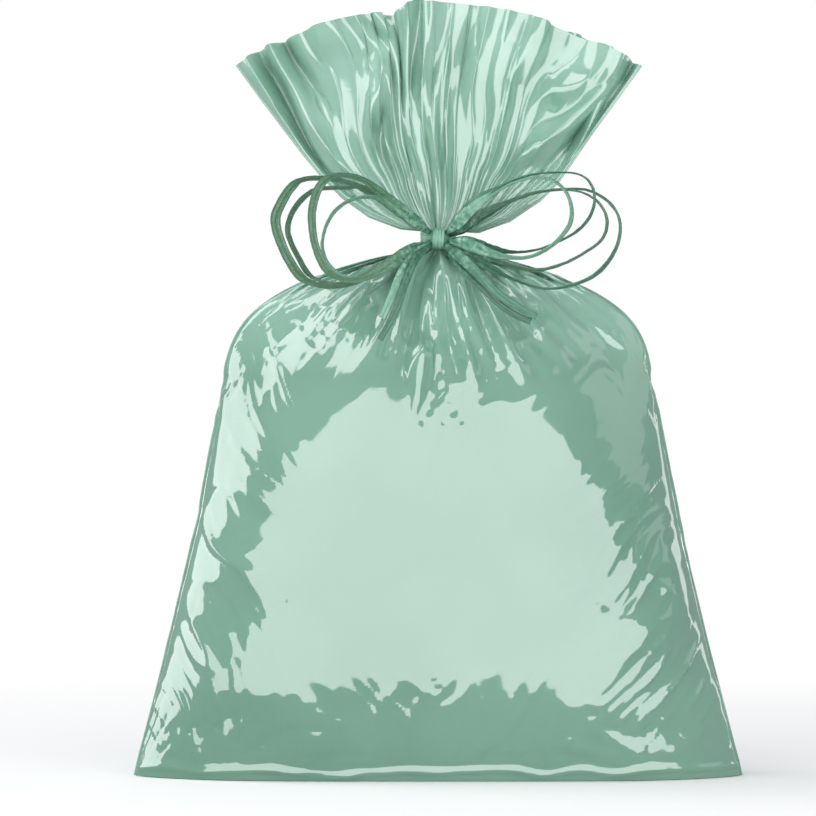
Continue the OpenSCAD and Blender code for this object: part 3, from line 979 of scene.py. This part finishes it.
@dataclass
class Flare:
    """The film above the tie, spread as a fan of sharp folds: front, back and their side seams."""

    rows: int = 110
    cols: int = 420
    seam_points: int = 240
    seam_width: float = 1.4 * MM
    left_edge: tuple = ((0, 7.2, 4.6), (0.09, 18.5, 5.6), (0.22, 34.0, 11.4), (0.36, 47.5, 21.0),
                        (0.50, 58.8, 32.6), (0.61, 68.0, 43.8), (0.70, 75.0, 53.0), (0.85, 87.5, 69.5),
                        (1.0, 100.2, 87.0))
    right_edge: tuple = ((0, 7.2, 4.6), (0.09, 20.0, 3.8), (0.22, 35.6, 9.4), (0.36, 50.7, 19.6),
                         (0.50, 59.5, 28.5), (0.61, 68.2, 40.8), (0.72, 77.0, 53.7), (0.85, 88.6, 69.5),
                         (1.0, 101.0, 86.6))
    rim_z: float = KNOT_Z + 116.0 * MM
    folds: tuple = (
        FoldFamily(2.7, 0.3, 0.78, 2, 1.2),
        FoldFamily(4.6, -1.0, 0.70, 5, 1.8),
        FoldFamily(6.2, 1.3, 0.62, 8, 1.8),
        FoldFamily(13.0, 0.3, 0.80, 11, 0.8, 0.72, 0.30, 0.80),
        FoldFamily(24.0, 0.0, 0.85, 14, 0.6, 0.92, 0.25, 0.65),
    )

    def edge(self, table: tuple, r: np.ndarray) -> tuple[np.ndarray, np.ndarray]:
        """Half width and height of one side edge at share r of the way up, read from its table."""
        t = np.array(table)
        return np.interp(r, t[:, 0], t[:, 1]) * MM, KNOT_Z + np.interp(r, t[:, 0], t[:, 2]) * MM

    def sheet_grid(self, face: int, seed: int) -> np.ndarray:
        """One sheet of the fan.

        Across, a point lies at its share s of the half width at its height; up, it lies on an
        arch between the two side edges; out, on an arch as deep as the mouth, plus five sizes
        of folds that run from the root to the rim, with creases and thin upright crests over them.

        Args:
            face: -1 for the front and 1 for the back.
            seed: another pattern for each sheet.

        Returns:
            The sheet's points.
        """
        r = np.linspace(0, 1, self.rows)[:, None]
        s = np.linspace(-1, 1, self.cols)[None, :]
        left_w, left_z = self.edge(self.left_edge, r)
        right_w, right_z = self.edge(self.right_edge, r)
        half = np.where(s < 0, left_w, right_w)
        edge_z = np.where(s < 0, left_z, right_z)
        opened = ramp(r, 0.0, 0.35)
        across = np.sin(np.pi / 2 * s) * (1 - opened) + s * opened
        top = HINGE_Z - 1.5 * MM + (self.rim_z - HINGE_Z + 1.5 * MM) * r
        arch = 1 - np.abs(s) ** (1.75 + 0.25 * r)
        z = edge_z + (top - edge_z) * arch
        depth = (6.8 * (1 - r) + 11.0 * r) * MM * (1 - np.abs(s) ** 2.2) ** 0.55
        y = face * depth
        warp = 0.26 * (noise(s * 2.1 + 9, r * 1.7, seed) - 0.5)
        warp = warp + 0.05 * (noise(s * 6, r * 3.5, seed + 1) - 0.5)
        a = s + warp * ramp(r, 0.02, 0.7)
        edge_fade = 1 - ramp(np.abs(s), 0.965, 1.0)
        folds = sum(family.wave(a, r, half, seed) for family in self.folds)
        tilt = 0.5 * s
        p, q = s * half - tilt * (z - KNOT_Z), z + tilt * s * half
        creases = ramp(r, 0.30, 0.75) * 1.7 * MM * crests(p / 0.024 + 5 * warp, q / 0.032, seed + 7, 3.0)
        grow = 0.35 + 0.65 * ramp(r, 0.0, 0.55)
        radial = 0.020 * half * crests(a * 17, r * 2.0, seed + 20, 6.0) * ramp(r, 0.05, 0.3)
        y = y + (folds + creases + radial) * edge_fade
        x = half * across + 0.8 * MM * np.cos(2 * np.pi * 11 * a) * grow * edge_fade
        rim = ramp(r, 0.80, 1.0)
        wave = 3.4 * MM * (noise(s * 5, 0.0, seed + 9) - 0.5)
        if face < 0:
            wave = wave + 4.6 * MM * np.exp(-(((s + 0.095) / 0.020) ** 2))
            wave = wave - 4.0 * MM * np.exp(-(((s + 0.23) / 0.05) ** 2))
        z = z + rim * wave * (1 - ramp(np.abs(s), 0.9, 1.0))
        return np.stack([x, y, z], -1)

    def seam(self, name: str, node: str, edge: np.ndarray, wardrobe: Wardrobe) -> bpy.types.Object:
        """A pressed strip along one side edge of the fan, as the pouch's welds are made."""
        path = even_points(edge, self.seam_points)
        tangent = unit(np.gradient(path, axis=0))
        across = np.cross(tangent, np.array([0.0, 1.0, 0.0])) + [0, 0.3, 0]
        return pressed_strip(name, node, path, across, self.seam_width, 0.1 * MM, wardrobe)

    def build(self, wardrobe: Wardrobe) -> None:
        """Builds both sheets and their seams, and bakes each one's place into its mesh."""
        front, back = self.sheet_grid(-1, 3), self.sheet_grid(1, 31)
        made = []
        for name, node, grid in (
            ("flare_film_front", "flare_front", front),
            ("flare_film_back", "flare_back", back[:, ::-1]),
        ):
            obj = wardrobe.dress(grid_object(name, grid, crumple=0.8), LIGHTENED_FLARE_FILM)
            made.append(stand_in(obj, node))
        made.append(self.seam("flare_left_seam", "flare_left_weld", front[:, 0], wardrobe))
        made.append(self.seam("flare_right_seam", "flare_right_weld", front[:, -1], wardrobe))
        for obj in made:
            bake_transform(obj)


# ---------------------------------------------------------------- the bow


class Lay(Enum):
    """How a strand lies, with how far it leans forwards in metres."""

    LOOP = 20 * MM
    TAIL = 34 * MM


@dataclass
class Strand:
    """One flat strand of raffia, on its own body, that stands for the CAD node of the same name."""

    name: str
    tone: Tone
    lay: Lay
    band: int
    rank: int
    points: tuple
    turn: float = 16.0
    width: float = 6 * MM
    seed: int = 0

    def path(self, count: int) -> np.ndarray:
        """The middle line: a smooth curve through the points, leaning forwards as the CAD strand does."""
        line = smooth_path(np.array(self.points, float) * MM, count)
        reach = np.linalg.norm(line, axis=1)
        lean = 1 - np.exp(np.minimum(0, STRAND_ROOT - reach) / (14 * MM))
        y = CORE_BACK_Y - BAND_PITCH * (self.band + 0.5) - self.lay.value * lean
        y = y - self.rank * RANK_STEP * clamp01((reach - STRAND_ROOT) / RANK_RUN)
        return np.stack([line[:, 0], y, KNOT_Z + line[:, 1]], 1)

    def across(self, run: np.ndarray, tangent: np.ndarray, facing: np.ndarray,
               near: np.ndarray) -> np.ndarray:
        """The way that the width lies: turned from front to back by the lay's angle, and flat near the knot.

        Args:
            run: length along the strand at each point.
            tangent: the strand's way at each point.
            facing: the way square to the strand in the picture's plane.
            near: how near the knot each point is, from 0 to 1.

        Returns:
            One vector for each point.
        """
        lay = self.turn
        if self.lay is Lay.LOOP:
            lay = lay * (0.55 + 0.45 * ramp(np.abs(tangent[:, 2]), 0.30, 0.85))
        wander = 14 * (1 - 0.8 * near) * (noise(run / 0.03, 0.0, self.seed) - 0.5)
        angle = np.radians(lay + (KNOT_TURN - lay) * near + wander)
        return np.cos(angle)[:, None] * np.array([0.0, 1.0, 0.0]) + np.sin(angle)[:, None] * facing

    def widths(self, run: np.ndarray, reach: np.ndarray) -> np.ndarray:
        """Width at each point: drawn in at the root, a little uneven, and narrower to the end of a tail."""
        width = self.width * (0.36 + 0.64 * ramp(reach, 4 * MM, 14 * MM))
        width = width * (0.92 + 0.16 * noise(run / 0.02, 0.0, self.seed + 2))
        if self.lay is Lay.TAIL:
            width = width * (1 - 0.30 * ramp(run / run[-1], 0.35, 1.0))
        return width

    def build(self, wardrobe: Wardrobe) -> None:
        """Builds the strand: a flat profile along its line, creased across near the knot."""
        path = self.path(LOOP_POINTS if self.lay is Lay.LOOP else TAIL_POINTS)
        reach = np.linalg.norm(path[:, [0, 2]] - [0, KNOT_Z], axis=1)
        run = lengths(path)
        near = 1 - ramp(reach, 8 * MM, 42 * MM)
        tangent = unit(np.gradient(path, axis=0))
        facing = unit(np.cross(tangent, np.array([0.0, 1.0, 0.0])))
        across = self.across(run, tangent, facing, near)
        path = path + 0.5 * MM * (noise(run / 0.012, 0.0, self.seed + 4) - 0.5)[:, None] * facing
        calm = ramp(reach, 3.5 * MM, 10 * MM)[:, None]

        def ripple(share: np.ndarray, along: np.ndarray) -> np.ndarray:
            """Lengthwise grooves all over, and creases across near the knot."""
            grooves = 0.26 * MM * np.cos(share * 2.2 * np.pi + 3 * noise(along / 0.03, share, self.seed))
            creases = crests(share * 1.3 + 4, along / 0.0042, self.seed + 7, 1.5) - 0.5
            return (grooves + (0.22 + 0.78 * near[:, None]) * 0.95 * MM * creases) * calm

        grid, uv = ribbon_grid(path, across, self.widths(run, reach), STRAND_THICK, STRAND_AROUND, ripple)
        # The crumple amount also sets how much painted highlight the raffia shows near the knot.
        obj = tube_object("raffia_" + self.name, grid, uv=uv, crumple=(0.10 + 0.75 * near)[:, None])
        stand_in(wardrobe.dress(obj, self.tone.value), self.name, self.name)
        log.info("raffia_%s: %.0f mm long", self.name, run[-1] / MM)


def loop_points(side: int, outline: tuple) -> tuple:
    """A loop's points with its two ends led into the knot."""
    return ((side * 1.5, 1.2), *outline, (side * 1.5, -1.2))


STRANDS = (
    Strand("left_loop_1", Tone.OLIVE, Lay.LOOP, 1, 1, loop_points(-1, (
        (-12.3, 8.6), (-28.8, 20.5), (-40.5, 25.8), (-52.2, 28.5), (-65.2, 28.8), (-72.2, 24.7),
        (-78.1, 15.3), (-80.2, 8.2), (-78.1, -1.2), (-73.4, -11.7), (-66.3, -20.5), (-55.8, -24.1),
        (-42.9, -22.3), (-28.8, -15.3), (-14.7, -6.5))), turn=56.0, seed=1),
    Strand("left_loop_2", Tone.OLIVE, Lay.LOOP, 0, 0, loop_points(-1, (
        (-17, 11.5), (-37, 23.5), (-44, 24.7), (-58, 24), (-65.7, 20), (-71.6, 12.9), (-74.3, 4.7),
        (-72.8, -2.3), (-68.7, -10.6), (-62.8, -18.8), (-53.4, -22.3), (-41, -22), (-28, -15.5),
        (-14, -6.5))), turn=30.0, seed=2),
    Strand("left_loop_3", Tone.OLIVE, Lay.LOOP, 3, 3, loop_points(-1, (
        (-12.3, 8.8), (-26.4, 20.1), (-37, 27.6), (-46.4, 29.9), (-53.4, 28.8), (-58.7, 23.5),
        (-61.4, 14.1), (-61.6, 4.7), (-59.9, -5.9), (-55.8, -15.3), (-48.7, -20.5), (-38.2, -21.1),
        (-26.4, -15.3), (-14.7, -7))), turn=46.0, seed=3),
    Strand("left_loop_4", Tone.LIGHT, Lay.LOOP, 2, 2, loop_points(-1, (
        (-11.2, 8), (-21.7, 16.2), (-31.1, 19.5), (-40.5, 19), (-48.7, 14.7), (-54, 8.2), (-56.7, 0.6),
        (-56.7, -7), (-53.4, -14.1), (-47, -18.8), (-37, -20), (-26.4, -14.7), (-14.7, -7))),
        turn=16.0, seed=4),
    Strand("right_loop_1", Tone.DARK, Lay.LOOP, 0, 0, loop_points(1, (
        (7.6, 2.9), (21.7, 10.6), (35.8, 17.6), (49.9, 22.3), (64, 23.7), (74.5, 22.9), (82.8, 18.2),
        (88, 11.7), (89.2, 3.5), (86.9, -5.9), (80.4, -15.3), (71, -21.7), (59.3, -24.7), (47.5, -24.1),
        (34.6, -19.4), (21.7, -12.3), (11.2, -5.3))), seed=5),
    Strand("right_loop_2", Tone.OLIVE, Lay.LOOP, 1, 1, loop_points(1, (
        (7.6, 3.5), (20.5, 11.2), (33.5, 17.6), (46.4, 21.7), (58.1, 23.1), (68.7, 22.3), (76.9, 18.2),
        (81.6, 11.7), (82.5, 4.7), (79.2, -2.3), (69.8, -8.8), (58.1, -14.1), (46.4, -16.1), (34.6, -13.5),
        (21.7, -8.2), (11.2, -3.5))), seed=6),
    Strand("right_loop_3", Tone.DARK, Lay.LOOP, 2, 2, loop_points(1, (
        (6.5, 5), (18.2, 17.6), (29.9, 24.7), (44, 29.9), (58.1, 31.5), (68.7, 30.3), (74.5, 25.2),
        (76, 17.6), (73.4, 9.4), (66.3, 1.8), (55.8, -3.5), (45.2, -6.8), (35.8, -7.3), (25.2, -5.3),
        (14.7, -2.3))), seed=7),
    Strand("right_loop_4", Tone.LIGHT, Lay.LOOP, 3, 3, loop_points(1, (
        (6.5, 4.5), (18.2, 15.4), (29.9, 22.9), (40.5, 27.6), (49.9, 28.8), (57.5, 26.4), (62.8, 20.5),
        (64.9, 12.9), (64, 5.9), (59.3, -0.6), (52.2, -6.5), (42.9, -10.3), (33.5, -10), (21.7, -6.5),
        (12.3, -2.9))), seed=8),
    Strand("left_tail_1", Tone.DEEP, Lay.TAIL, 5, 0, (
        (-1.5, -1), (-5.3, -4.4), (-11.2, -10.6), (-15.9, -21.1), (-19.8, -32.9), (-24.3, -42.3),
        (-28.6, -50.5)), turn=82.0, width=4.6 * MM, seed=9),
    Strand("left_tail_2", Tone.LIGHT, Lay.TAIL, 4, 0, (
        (-1.5, -1), (-6, -3.5), (-12.3, -10.6), (-18.2, -18.8), (-21.7, -27), (-25.2, -35.2),
        (-27.6, -39.9)), turn=80.0, width=5.2 * MM, seed=10),
    Strand("right_tail_1", Tone.DARK, Lay.TAIL, 5, 0, (
        (1.5, -1), (5.3, -4.9), (12.3, -11.4), (20.5, -19.4), (29.9, -28.6), (38.8, -34.6), (47.6, -39.4)),
        turn=82.0, width=5.4 * MM, seed=11),
    Strand("right_tail_2", Tone.DEEP, Lay.TAIL, 4, 0, (
        (1.5, -1), (5.0, -6.4), (11.4, -14.4), (19.3, -22.8), (28.6, -32.3), (37.3, -38.2), (45.0, -41.6)),
        turn=82.0, width=4.8 * MM, seed=12),
)


@dataclass
class Bow:
    """The turns round the neck, the bow's middle and wrap, and its strands."""

    turns: float = 3.0
    turn_height: float = 3.0 * MM
    turn_radius: float = 8.45 * MM
    turn_width: float = 3.4 * MM
    turn_thick: float = 0.8 * MM
    middle_radius: float = 4.1 * MM
    wrap_width: float = 5.7 * MM
    wrap_thick: float = 1.0 * MM
    wrap_half_z: float = 4.6 * MM

    def winding(self, wardrobe: Wardrobe) -> None:
        """Turns of raffia up the neck: a flat profile carried along a helix."""
        low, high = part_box("neck_tie")
        count = 360
        q = np.linspace(0, 2 * np.pi * self.turns, count)
        z = np.linspace(low[2] + self.turn_height / 2, high[2] - self.turn_height / 2, count)
        r = self.turn_radius + 0.15 * MM * (noise(q * 2, 0.0, 3) - 0.5)
        path = np.stack([r * np.sin(q), -r * np.cos(q), z], 1)

        def ripple(share: np.ndarray, along: np.ndarray) -> np.ndarray:
            """Creases across the turns."""
            return 0.3 * MM * (crests(share * 3 + 9, along / 0.006, 4, 1.5) - 0.5)

        upright = np.tile([0.0, 0.0, 1.0], (count, 1))
        grid, uv = ribbon_grid(path, upright, self.turn_width, self.turn_thick, 14, ripple)
        obj = wardrobe.dress(tube_object("neck_winding", grid, uv=uv), Tone.LIGHT.value)
        stand_in(obj, "neck_tie", "bow")

    def middle(self, wardrobe: Wardrobe) -> None:
        """The bow's middle: strands pressed together, a closed round form drawn in at its ends."""
        v = np.linspace(0, 1, 26)[:, None]
        q = np.linspace(0, 2 * np.pi, 72, endpoint=False)[None, :]
        y = CORE_BACK_Y + (CORE_FRONT_Y - CORE_BACK_Y) * v
        r = self.middle_radius * (1 - 0.35 * np.abs(2 * v - 1) ** 5) * (1 + 0.10 * crests(q * 3, v * 6, 3, 2))
        grid = np.stack([1.25 * r * np.cos(q), y + 0 * r, KNOT_Z + r * np.sin(q)], -1)
        uv = np.stack([q / (2 * np.pi) + 0 * v, 0.02 * v + 0 * q], -1)
        obj = wardrobe.dress(tube_object("bow_middle", grid, uv=uv), Tone.DARK.value)
        stand_in(obj, "bow_core", "bow")

    def wrap(self, wardrobe: Wardrobe) -> None:
        """The strand round the middle: a flat profile round a rounded oblong, grooved between its runs."""
        low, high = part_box("knot_wrap")
        count = 160
        q = np.linspace(0, 2 * np.pi, count, endpoint=False)
        mid_y, half_y = (low[1] + high[1]) / 2, (high[1] - low[1]) / 2 - 0.45 * MM
        y = mid_y - half_y * np.sign(np.cos(q)) * np.abs(np.cos(q)) ** 0.75
        z = KNOT_Z + self.wrap_half_z * np.sign(np.sin(q)) * np.abs(np.sin(q)) ** 0.75
        path = np.stack([0.25 * MM * np.sin(q * 2), y, z], 1)
        ring = np.vstack([path, path[:1]])

        def ripple(share: np.ndarray, along: np.ndarray) -> np.ndarray:
            """Grooves between the runs, and creases across them."""
            creases = crests(share * 2.5 + 7, along / 0.004, 8, 1.5) - 0.5
            return 0.32 * MM * np.cos(share * 3.1 * np.pi + 0.6) + 0.22 * MM * creases

        level = np.tile([1.0, 0.0, 0.0], (count + 1, 1))
        grid, uv = ribbon_grid(ring, level, self.wrap_width, self.wrap_thick, 28, ripple)
        obj = wardrobe.dress(tube_object("bow_wrap", grid[:-1], wrap_rows=True, uv=uv[:-1]), Tone.LIGHT.value)
        stand_in(obj, "knot_wrap", "bow")

    def build(self, wardrobe: Wardrobe) -> None:
        """Builds the turns, the middle, the wrap and every strand."""
        self.winding(wardrobe)
        self.middle(wardrobe)
        self.wrap(wardrobe)
        for strand in STRANDS:
            strand.build(wardrobe)


# ---------------------------------------------------------------- the studio


@dataclass
class Softbox:
    """One soft area light: where it hangs, how large it is and how bright its face is."""

    name: str
    place: tuple
    size: tuple
    radiance: float
    aim: tuple = (0.0, 0.0, 0.18)

    def build(self) -> None:
        """Makes the light. Its power is its face's brightness times its area times pi."""
        light = bpy.data.lights.new(self.name, "AREA")
        light.shape, light.size, light.size_y = "RECTANGLE", self.size[0], self.size[1]
        light.energy = self.radiance * math.pi * self.size[0] * self.size[1]
        obj = bpy.data.objects.new(self.name, light)
        bpy.context.scene.collection.objects.link(obj)
        obj.location = self.place
        way = Vector(self.aim) - Vector(self.place)
        obj.rotation_euler = way.to_track_quat("-Z", "Y").to_euler()
        obj.visible_camera = False


@dataclass
class Studio:
    """The camera, the lights, the pale floor and the world round them."""

    camera_x: float = -15 * MM
    camera_z: float = 183 * MM
    distance: float = 2.6
    frame_width: float = 406 * MM
    sensor: float = 36.0
    floor_half: float = 14.0
    lights: tuple = (
        Softbox("front_light", (0.0, -1.2, 0.28), (4.2, 1.76), 1.95, (0.0, 0.0, 0.28)),
        Softbox("left_light", (-1.35, 0.50, 1.05), (0.90, 2.1), 2.3, (0.0, 0.50, 1.05)),
        Softbox("upper_left_light", (-0.50, -0.42, 1.65), (1.35, 0.80), 2.2, (-0.50, -0.42, 0.0)),
        Softbox("right_light", (1.35, 1.15, 0.5), (0.25, 1.6), 1.6),
        Softbox("right_fill", (1.40, 0.15, 0.95), (0.7, 1.1), 0.40, (0.0, 0.15, 0.6)),
        Softbox("back_light", (0.0, 1.9, 0.6), (1.5, 1.3), 1.6),
    )

    def build(self) -> None:
        """Builds the whole studio."""
        scene = bpy.context.scene
        for light in self.lights:
            light.build()
        lens = bpy.data.cameras.new("camera")
        camera = bpy.data.objects.new("camera", lens)
        scene.collection.objects.link(camera)
        lens.sensor_width = self.sensor
        lens.lens = self.sensor * self.distance / self.frame_width
        lens.clip_end = 50.0
        camera.location = (self.camera_x, -self.distance, self.camera_z)
        camera.rotation_euler = (math.pi / 2, 0, 0)
        scene.camera = camera
        self.world(scene)
        self.floor()
        scene.view_settings.view_transform = "Standard"

    def world(self, scene: bpy.types.Scene) -> None:
        """A pale surround: bright behind the object, dimmer where it only lights or is mirrored."""
        world = bpy.data.worlds.new("studio")
        world.use_nodes = True
        scene.world = world
        tree = world.node_tree
        back = tree.nodes["Background"]
        back.inputs["Color"].default_value = (0.93, 0.96, 1.0, 1)
        back.inputs["Strength"].default_value = 0.42
        seen = new_node(tree, "ShaderNodeBackground")
        seen.inputs["Color"].default_value = (1, 1, 1, 1)
        path = new_node(tree, "ShaderNodeLightPath")
        mix = new_node(tree, "ShaderNodeMixShader")
        wire(tree, (path.outputs["Is Camera Ray"], mix.inputs[0]), (back.outputs[0], mix.inputs[1]),
             (seen.outputs[0], mix.inputs[2]),
             (mix.outputs[0], tree.nodes["World Output"].inputs["Surface"]))

    def floor(self) -> None:
        """The pale floor, which mirrors in nothing."""
        step = np.linspace(-self.floor_half, self.floor_half, 3)
        x, y = np.meshgrid(step, step)
        obj = grid_object("floor", np.stack([x, y, 0 * x], -1))
        material, tree, principled = shader("floor_white")
        place = new_node(tree, "ShaderNodeTexCoord")
        far = new_node(tree, "ShaderNodeVectorMath", operation="LENGTH")
        wire(tree, (place.outputs["Object"], far.inputs[0]))
        away = new_node(tree, "ShaderNodeMapRange", s_From_Min=0.25, s_From_Max=0.95)
        wire(tree, (far.outputs["Value"], away.inputs["Value"]))
        near_white, black, white = (0.90, 0.90, 0.90), (0.0, 0.0, 0.0), (1.0, 1.0, 1.0)
        lit = two_tones(tree, away.outputs[0], near_white, black, 0.0, 1.0)
        glow = two_tones(tree, away.outputs[0], black, white, 0.0, 1.0)
        wire(tree, (lit, principled.inputs["Base Color"]), (glow, principled.inputs["Emission Color"]))
        principled.inputs["Emission Strength"].default_value = 1.0
        principled.inputs["Roughness"].default_value = 0.9
        principled.inputs["Specular IOR Level"].default_value = 0.0
        obj.data.materials.append(material)
        obj.visible_glossy = False


# ---------------------------------------------------------------- making


def main() -> None:
    """Builds the studio, the pouch, the flare and the bow."""
    Studio().build()
    wardrobe = Wardrobe()
    Pouch().build(wardrobe)
    Flare().build(wardrobe)
    Bow().build(wardrobe)


if __name__ == "__main__":
    main()
